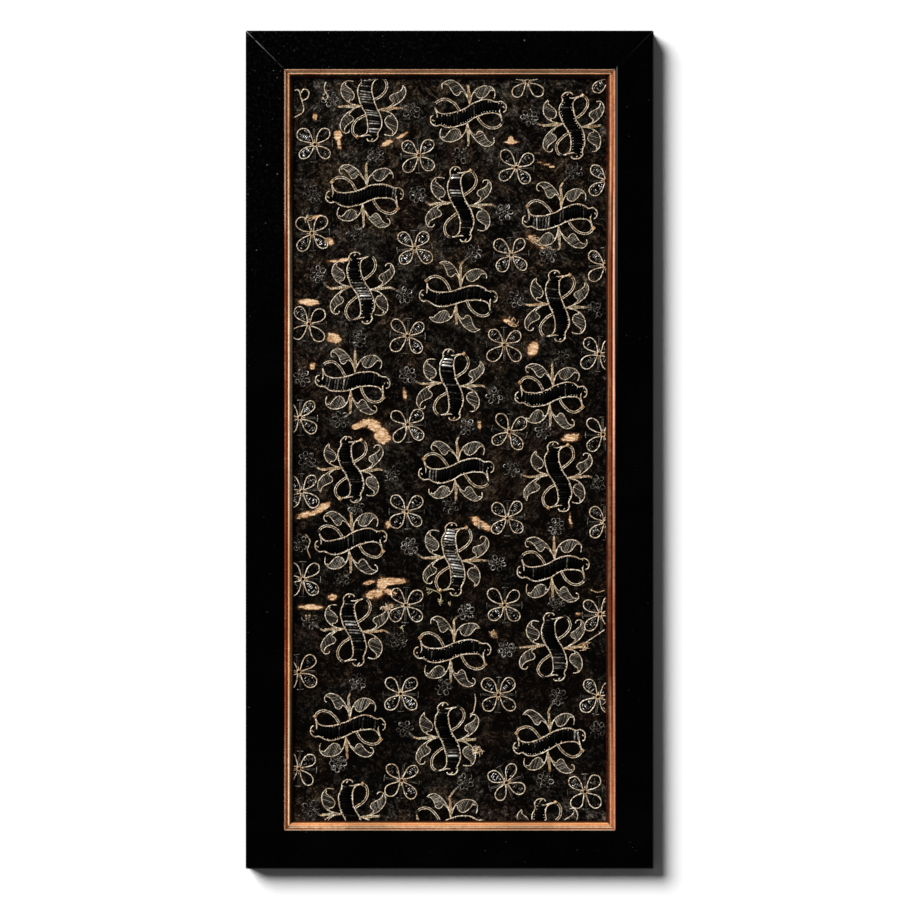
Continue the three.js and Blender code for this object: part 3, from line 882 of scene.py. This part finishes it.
flower = {
    "petal": [(2.0, 0.3), (8.5, 4.2), (14, 5.9), (18.6, 4.6), (20.9, 0), (18.6, -4.6), (14, -5.9),
              (8.5, -4.2), (2.0, -0.3)],
    "cord": 0.61,
    "petalTurns": (45, 135, 225, 315),
    "stamenTurns": (0, 90, 180, 270),
    "stamen": [(4.0, 0), (10, 0.3), (16.5, 0)],
    "stamenCord": 0.27,
    "stamenGap": 0.65,
    "stamenBar": [(17.4, -3.4), (17.7, 0), (17.4, 3.4)],
    "barCord": 0.46,
    "stamenFoot": [(1.5, 0), (3.4, 0.2), (5.2, 0)],
    "footCord": 0.4,
    "ring": 2.1,
    "ringCord": 0.5,
    "petalMiddle": (12.5, 0),
    "purlMiddle": (12.9, 0),
    "purlShare": (0.66, 0.62),   # of the petal's length and width
    "purl": 0.5,
    "purlBars": (8.6, 10.4, 12.2, 14.0, 15.8),
    "clean": 0.85,           # tone of the bright petals' purl, and what the others' is drawn from
    "dull": (0.16, 0.28, 0.4, 0.5, 0.6),
    "seed": 31,
    "bright": {0: (135, 225), 1: (315,), 4: (315,), 5: (315,), 9: (225, 315), 10: (315,), 11: (315,),
               14: (225, 315), 15: (315,), 18: (315,)},
}
flowerRows = [
    (-135, 306, 0), (-138, 217, 4), (-141, 126, -4), (-150, 32, 0), (-148, -42, 5), (-147, -130, 0),
    (-151, -223, 4), (-151, -320, -6), (-31, 295, 3), (-35, 202, 4), (-42, 114, -4), (-42, 25, 3),
    (-43, -62, 0), (-44, -156, -3), (-49, -245, 0), (-48, -332, -5), (78, 369, 0), (67, 283, -6),
    (62, 195, 4), (55, 105, -3), (60, 18, -8), (58, -69, 3), (55, -156, 0), (49, -246, 0), (57, -334, 22),
    (160, 373, 0), (157, 270, 0), (156, 185, 4), (150, 96, -5), (154, 15, 3), (156, -73, 0), (151, -165, 6),
    (149, -248, -4), (136, -343, 3),
]


def layFlower(row, number, cords, threads, dull):
    x, y, turn = row
    draw = random.Random(flower["seed"] * 100 + number)
    tone = draw.uniform(0.0, 0.25)
    for petalTurn in flower["petalTurns"]:
        angle = turn + petalTurn + draw.uniform(-4, 4)
        size = draw.uniform(0.93, 1.04)
        width = draw.uniform(0.88, 1.06)
        outline = np.array(flower["petal"]) * (size, size * width)
        cords.add(shaken(turned(along(outline, 1.0), angle, x, y), number), flower["cord"], tone)
        bright = petalTurn in flower["bright"].get(number, ())
        clean = flower["clean"] if bright else draw.choice(flower["dull"])
        inner = (outline - flower["petalMiddle"]) * flower["purlShare"] + flower["purlMiddle"]
        inner = along(inner, 0.9)
        start = 0
        while start < len(inner) - 2:
            length = draw.choice((1, 2, 2, 3))
            if draw.random() < 0.65:
                shift = (draw.uniform(-0.5, 0.5), draw.uniform(-0.5, 0.5))
                piece = turned(inner[start:start + length + 1] + shift, angle, x, y)
                threads.add(piece, flower["purl"], clean * draw.uniform(0.4, 1.4), arch=0.25)
            start += length + 1
        for reach in flower["purlBars"]:
            half = draw.uniform(0.9, 2.6)
            if draw.random() < 0.75:
                bar = [(reach, -half), (reach + 0.3, 0), (reach, half)]
                bar = turned(bar, angle + draw.uniform(-6, 6), x, y)
                threads.add(bar, flower["purl"] * 0.95, clean * draw.uniform(0.5, 1.5), lift=0.25, arch=0.3)
    for stamenTurn in flower["stamenTurns"]:
        angle = turn + stamenTurn + draw.uniform(-4, 4)
        line = turned(along(flower["stamen"], 2.0), angle, x, y)
        for gap in (-flower["stamenGap"], flower["stamenGap"]):
            dull.add(beside(line, gap), flower["stamenCord"], draw.uniform(0.16, 0.4))
        bar = turned(along(flower["stamenBar"], 1.3), angle, x, y)
        threads.add(bar, flower["barCord"], draw.uniform(0.2, 0.5))
        foot = turned(along(flower["stamenFoot"], 1.2), angle, x, y)
        cords.add(foot, flower["footCord"], 0.5)
    around = [turned([(flower["ring"], 0)], angle)[0] for angle in range(0, 361, 40)]
    cords.add(turned(along(around, 1.0), 0, x, y), flower["ringCord"], 0.8, lift=0.5)


# The small round floret of looped thread. Each row is its middle.

floret = {
    "places": np.array([
        (-38, 339), (-74, 295), (-136, 256), (-32, 256), (-96, 218), (-120, 352), (80, 333),
        (11, 295), (125, 279), (55, 238), (-132, 176), (-45, 155), (-92, 111), (-42, 75),
        (-109, 30), (-148, 72), (24, 197), (99, 195), (66, 151), (146, 140), (111, 93),
        (45, 54), (17, 23), (94, 19), (-143, -10), (-58, -25), (-94, -57), (-40, -97),
        (-107, -129), (-140, -172), (-51, -192), (-150, -94), (62, -19), (1, -56), (107, -77),
        (149, -34), (48, -114), (107, -154), (17, -163), (57, -200), (-92, -233), (-6, -238),
        (-45, -280), (-112, -315), (-139, -359), (109, -248), (16, -333), (96, -331), (149, -281),
    ], float),
    "loopReach": 6.1,
    "loopHalf": (2.7, 2.1),
    "thread": 0.54,
    "barCord": 0.42,
    "foot": [(1.3, 0), (2.6, 0), (3.9, 0)],
    "footCord": 0.36,
    "ring": 1.5,
    "ringCord": 0.5,
    "seed": 47,
}


def layFloret(x, y, number, threads):
    draw = random.Random(floret["seed"] * 100 + number)
    loops = draw.choice((6, 7, 7, 8))
    tone = draw.uniform(0.27, 0.46)
    start = draw.uniform(0, 60)
    away = floret["loopReach"]
    for i in range(loops):
        angle = start + i * 360 / loops + draw.uniform(-7, 7)
        long, wide = (half * draw.uniform(0.85, 1.12) for half in floret["loopHalf"])
        ring = [(away + long * math.cos(a), wide * math.sin(a)) for a in np.arange(0, 6.3, 0.785)]
        outline = turned(along(ring, 0.95), angle, x, y)
        shine = draw.uniform(0.7, 1.2)
        for part in (outline[:5], outline[4:8], outline[7:12], outline[11:]):
            threads.add(part, floret["thread"], tone * shine * draw.uniform(0.55, 1.45))
        for reach in (-1.0, 0.8):
            if draw.random() < 0.35:
                bar = [(away + reach, -1.0), (away + reach + 0.4, 0), (away + reach, 1.0)]
                glint = tone * shine * draw.uniform(0.3, 1.7)
                threads.add(turned(bar, angle, x, y), floret["barCord"], glint, arch=0.3)
        threads.add(turned(floret["foot"], angle, x, y), floret["footCord"], tone * 0.8)
    middle = [(floret["ring"] * math.cos(a), floret["ring"] * math.sin(a)) for a in np.arange(0, 6.3, 0.9)]
    threads.add(turned(along(middle, 0.9), 0, x, y), floret["ringCord"], tone, lift=0.3)


# Loose ends, cut-off curls and frayed threads, each a route with its radius and tone

loose = {
    "routes": [
        ([(-155, 360), (-152.6, 361), (-149.5, 358.5), (-148.7, 352.5), (-146.6, 350.6), (-142.6, 352.4),
          (-141, 357.5), (-143, 361), (-146.4, 361), (-148, 358)], 0.7, 0.2),
        ([(-148.7, 352.5), (-147.5, 347), (-146.3, 342), (-147.4, 337.5), (-151.6, 335),
          (-156, 333)], 0.7, 0.4),
        ([(-124, 368.5), (-125.7, 363.5), (-124.6, 358.5), (-121.6, 354.6), (-124.6, 350.5),
          (-127.6, 353.6)], 0.6, 0.2),
        ([(133.4, -195.3), (141, -191), (148, -186), (155.5, -180.3)], 0.55, 0.1),
        ([(25.4, -245.3), (26, -254), (24, -262), (20.4, -265.3)], 0.6, 0.3),
        ([(-144.6, -85.3), (-140, -92), (-142.6, -101), (-139, -109)], 0.6, 0.5),
        ([(90, 208), (97, 204), (104, 200)], 0.5, 0.5),
        ([(155.4, -141), (148, -143.4), (141.4, -140.4)], 0.6, 0.6),
        ([(-21.3, -139.8), (-15, -141.5), (-10.2, -143.7), (-8.2, -147), (-9.8, -153),
          (-9.1, -157)], 0.5, -0.5),
    ],
    "tufts": [           # each a middle, its reach, how many hairs, and their tone
        (27.5, -302, 5.5, 34, 0.5), (84, 212, 5.0, 16, 0.8), (63, 128, 5.0, 12, 0.8),
        (-62, -158, 5.0, 14, 0.6), (136, -196, 5.0, 24, 0.9), (44, -185, 3.4, 9, 0.8),
        (30, -75, 4.0, 8, 0.7), (-141, 232, 4.0, 8, 0.6), (-20, -141, 2.2, 5, -0.6),
        (-9, -152, 2.0, 5, -0.6), (0, -154, 2.4, 4, -0.5), (-48, -179, 2.4, 4, -0.6),
    ],
    "hair": 0.38,            # radius
    "seed": 59,
}


def layLoose(cords):
    for number, (route, radius, tone) in enumerate(loose["routes"]):
        cords.add(shaken(along(route, 1.0), number + 80), radius, tone)
    draw = random.Random(loose["seed"])
    for x, y, reach, count, tone in loose["tufts"]:
        for _ in range(count):
            spot = np.array([draw.gauss(0, reach / 2.4), draw.gauss(0, reach / 2.4)])
            angle = draw.uniform(0, 360)
            bend = draw.uniform(-1.6, 1.6)
            length = draw.uniform(1.6, 3.4)
            hair = turned([(-length, 0), (0, bend), (length, 0)], angle, *(spot + (x, y)))
            shine = tone * draw.uniform(0.5, 1.2)
            cords.add(along(hair, 1.0), loose["hair"], shine, lift=draw.uniform(0, 1.0), taper=True)


# The velvet itself. Worn patches: middle, half length, half width, turn in degrees, and how bare it is.

wornPatches = [
    (-93, 23.5, 5, 2.6, 8, 1.0), (-85, 27.0, 8, 3.2, 14, 1.0), (-76, 24.5, 7, 5.0, -40, 1.1),
    (-68, 14.5, 7, 6.0, -62, 1.15), (-63, 12.5, 5, 3.6, -20, 0.9), (-57, -132, 12, 3.0, 0, 1.1),
    (-68, -134, 4.5, 5.2, 0, 1.05), (-80, -133, 6, 2.0, 14, 0.8), (-75, -145, 10, 4.2, 10, 0.75),
    (-60, -143, 6, 3.0, -20, 0.9), (-128, -58, 8, 3.0, 28, 1.1), (-143, -65, 11, 2.8, 10, 0.85),
    (-140, -158, 11, 2.6, 0, 0.85), (-142, -167, 3, 3.0, 40, 0.8), (-116, 112, 6, 4.6, -20, 1.1),
    (83.5, 101, 4.6, 6.4, -20, 1.1), (32, -75, 11, 3.4, -30, 0.9), (26.5, -70, 4, 2.4, -10, 1.05),
    (-141, 148, 8.5, 2.6, -6, 1.1), (-118, -148, 4.4, 3.0, 0, 0.85), (-62, 308, 6, 1.9, 24, 1.0),
    (-48, 315, 7, 1.3, 30, 0.95), (-112, 316, 3.6, 4.2, 0, 1.05), (-111, 306, 2.0, 5, 20, 0.85),
    (-135, 334, 1.8, 3.6, 0, 1.05), (62, 308.4, 6.2, 1.7, 0, 1.0), (61.4, 311.6, 2.2, 3.4, 0, 1.0),
    (97, 286, 9, 1.2, -18, 0.85), (122, 12, 8, 4.0, 5, 0.8), (44, -185, 4, 2.2, 10, 0.72),
    (129, -165, 3.4, 1.8, 0, 0.7), (-45, 55, 1.8, 6, 8, 0.75), (-137.6, 84, 3.0, 3.2, 0, 0.85),
    (-136, 233, 8, 1.8, 8, 0.8), (-121, 209, 4.4, 3.6, -30, 0.8), (86, 209, 10, 3.0, -38, 0.8),
    (60, 128, 9, 2.2, -30, 0.75), (-61, -158, 6, 3.0, 40, 0.7), (121, -70, 1.5, 7, 10, 0.7),
    (30, 24, 1.8, 5, 10, 0.7), (-110, 190, 14, 1.6, 6, 0.75), (-62, -75, 3, 5, 0, 0.6),
]


# How much each tells on the pile in its middle, how fast that falls off, and the most it may be
rubbing = {
    "patch": (1.35, 0.8),
    "knot": (2.2, 1.7),
    "knotHalf": (0.47, 19),  # half its length, in its reach, and half its width
    "flower": (1.8, 1.5, 0.7),
    "flowerHalf": 19,
}


def fade(points, high, fall, most=1.0):  # falls off with the distance from the middle
    return np.clip(high - fall * np.linalg.norm(points, axis=1), 0, most)


def wearAt(points):
    wear = np.zeros(len(points))
    for x, y, long, wide, turn, bare in wornPatches:
        local = turned(points - (x, y), -turn) / (long, wide)
        wear = np.maximum(wear, bare * fade(local, *rubbing["patch"]))
    return wear


def depthAt(points):  # 1 where a knot or a flower keeps the pile from being rubbed
    depth = np.zeros(len(points))
    for x, y, turn, reach in [row for rows in knotColumns.values() for row in rows]:
        long, wide = rubbing["knotHalf"]
        local = turned(points - (x, y), -turn) / (reach * long, wide)
        depth = np.maximum(depth, fade(local, *rubbing["knot"]))
    for x, y, _ in flowerRows:
        local = (points - (x, y)) / rubbing["flowerHalf"]
        depth = np.maximum(depth, fade(local, *rubbing["flower"]))
    return depth


def stretchVelvet(material):
    bm = bmesh.new()
    across = round(cloth["width"] / cloth["pitch"])
    down = round(cloth["length"] / cloth["pitch"])
    size = Matrix.Diagonal((cloth["width"], cloth["length"], 1, 1))
    bmesh.ops.create_grid(bm, x_segments=across, y_segments=down, size=0.5, matrix=size, calc_uvs=True)
    for vert in bm.verts:
        vert.co.z = clothFace + crushAt(vert.co.x, vert.co.y)
    closeBelow(bm, [edge for edge in bm.edges if edge.is_boundary], cloth["back"])
    points = np.array([vert.co.xy for vert in bm.verts])
    mesh = finished(bm, "velvetCloth")
    for name, values in (("wear", wearAt(points)), ("deep", depthAt(points))):
        mesh.attributes.new(name, "FLOAT", "POINT").data.foreach_set("value", values.astype(np.float32))
    return newPiece("velvetCloth", mesh, material)


# Putting it together

setCamera()
setLight()
print("camera and light set")

floorMesh = bpy.data.meshes.new("floor")
floorShape = bmesh.new()
bmesh.ops.create_grid(floorShape, x_segments=1, y_segments=1, size=studio["floorSize"] / 2)
floorShape.to_mesh(floorMesh)
floorShape.free()
floor = bpy.data.objects.new("floor", floorMesh)
paper = Recipe("paper", {"Base Color": (*[studio["floorShade"]] * 3, 1), "Roughness": 0.9,
                         "Specular IOR Level": 0.1})
floorMesh.materials.append(paper.material)
scene.collection.objects.link(floor)

finishes = {"rail": polishedBlack(), "slip": wornGiltWithPaintedLight(), "backing": plainBoard()}
for name, node in nodes.items():
    finish = finishes.get(name.split("_")[0])
    if finish:
        node.data.materials.clear()
        node.data.materials.append(finish)
print("frame, slip and board finished")

cordFinish = goldCord()
metalFinish = tarnishedMetal()
threadFinish = dullThread()
velvet = stretchVelvet(crushedVelvet())
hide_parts("velvet_panel")
print("velvet stretched", len(velvet.data.polygons), "faces")

sewn = []
for number, (column, rows) in enumerate(knotColumns.items()):
    cords = Bundle("knotCords" + column, 6, knot["seed"] + number)
    threads = Bundle("leafThreads" + column, 4, leaf["seed"] + number)
    for index, row in enumerate(rows):
        layKnot(row, knot["seed"] * 1000 + number * 20 + index * 2, cords, threads)
    if column == "Middle":
        layLoose(cords)
    sewn.append(cords.build(cordFinish))
    sewn.append(threads.build(threadFinish))
    print("knots laid", column, len(cords.cords), "cords", len(threads.cords), "threads")

petals = Bundle("flowerCords", 6, flower["seed"])
purls = Bundle("flowerPurls", 4, flower["seed"] + 1)
stamens = Bundle("flowerStamens", 4, flower["seed"] + 2)
for number, row in enumerate(flowerRows):
    layFlower(row, number, petals, purls, stamens)
for number, (x, y) in enumerate(floret["places"]):
    layFloret(x, y, number, purls)
sewn.append(petals.build(cordFinish))
sewn.append(purls.build(metalFinish))
sewn.append(stamens.build(threadFinish))
sewn.append(layStrips(metalFinish))
print("flowers, florets and strips laid")

for piece in [velvet] + sewn:
    piece.data.calc_loop_triangles()
    print(piece.name, len(piece.data.loop_triangles), "triangles")
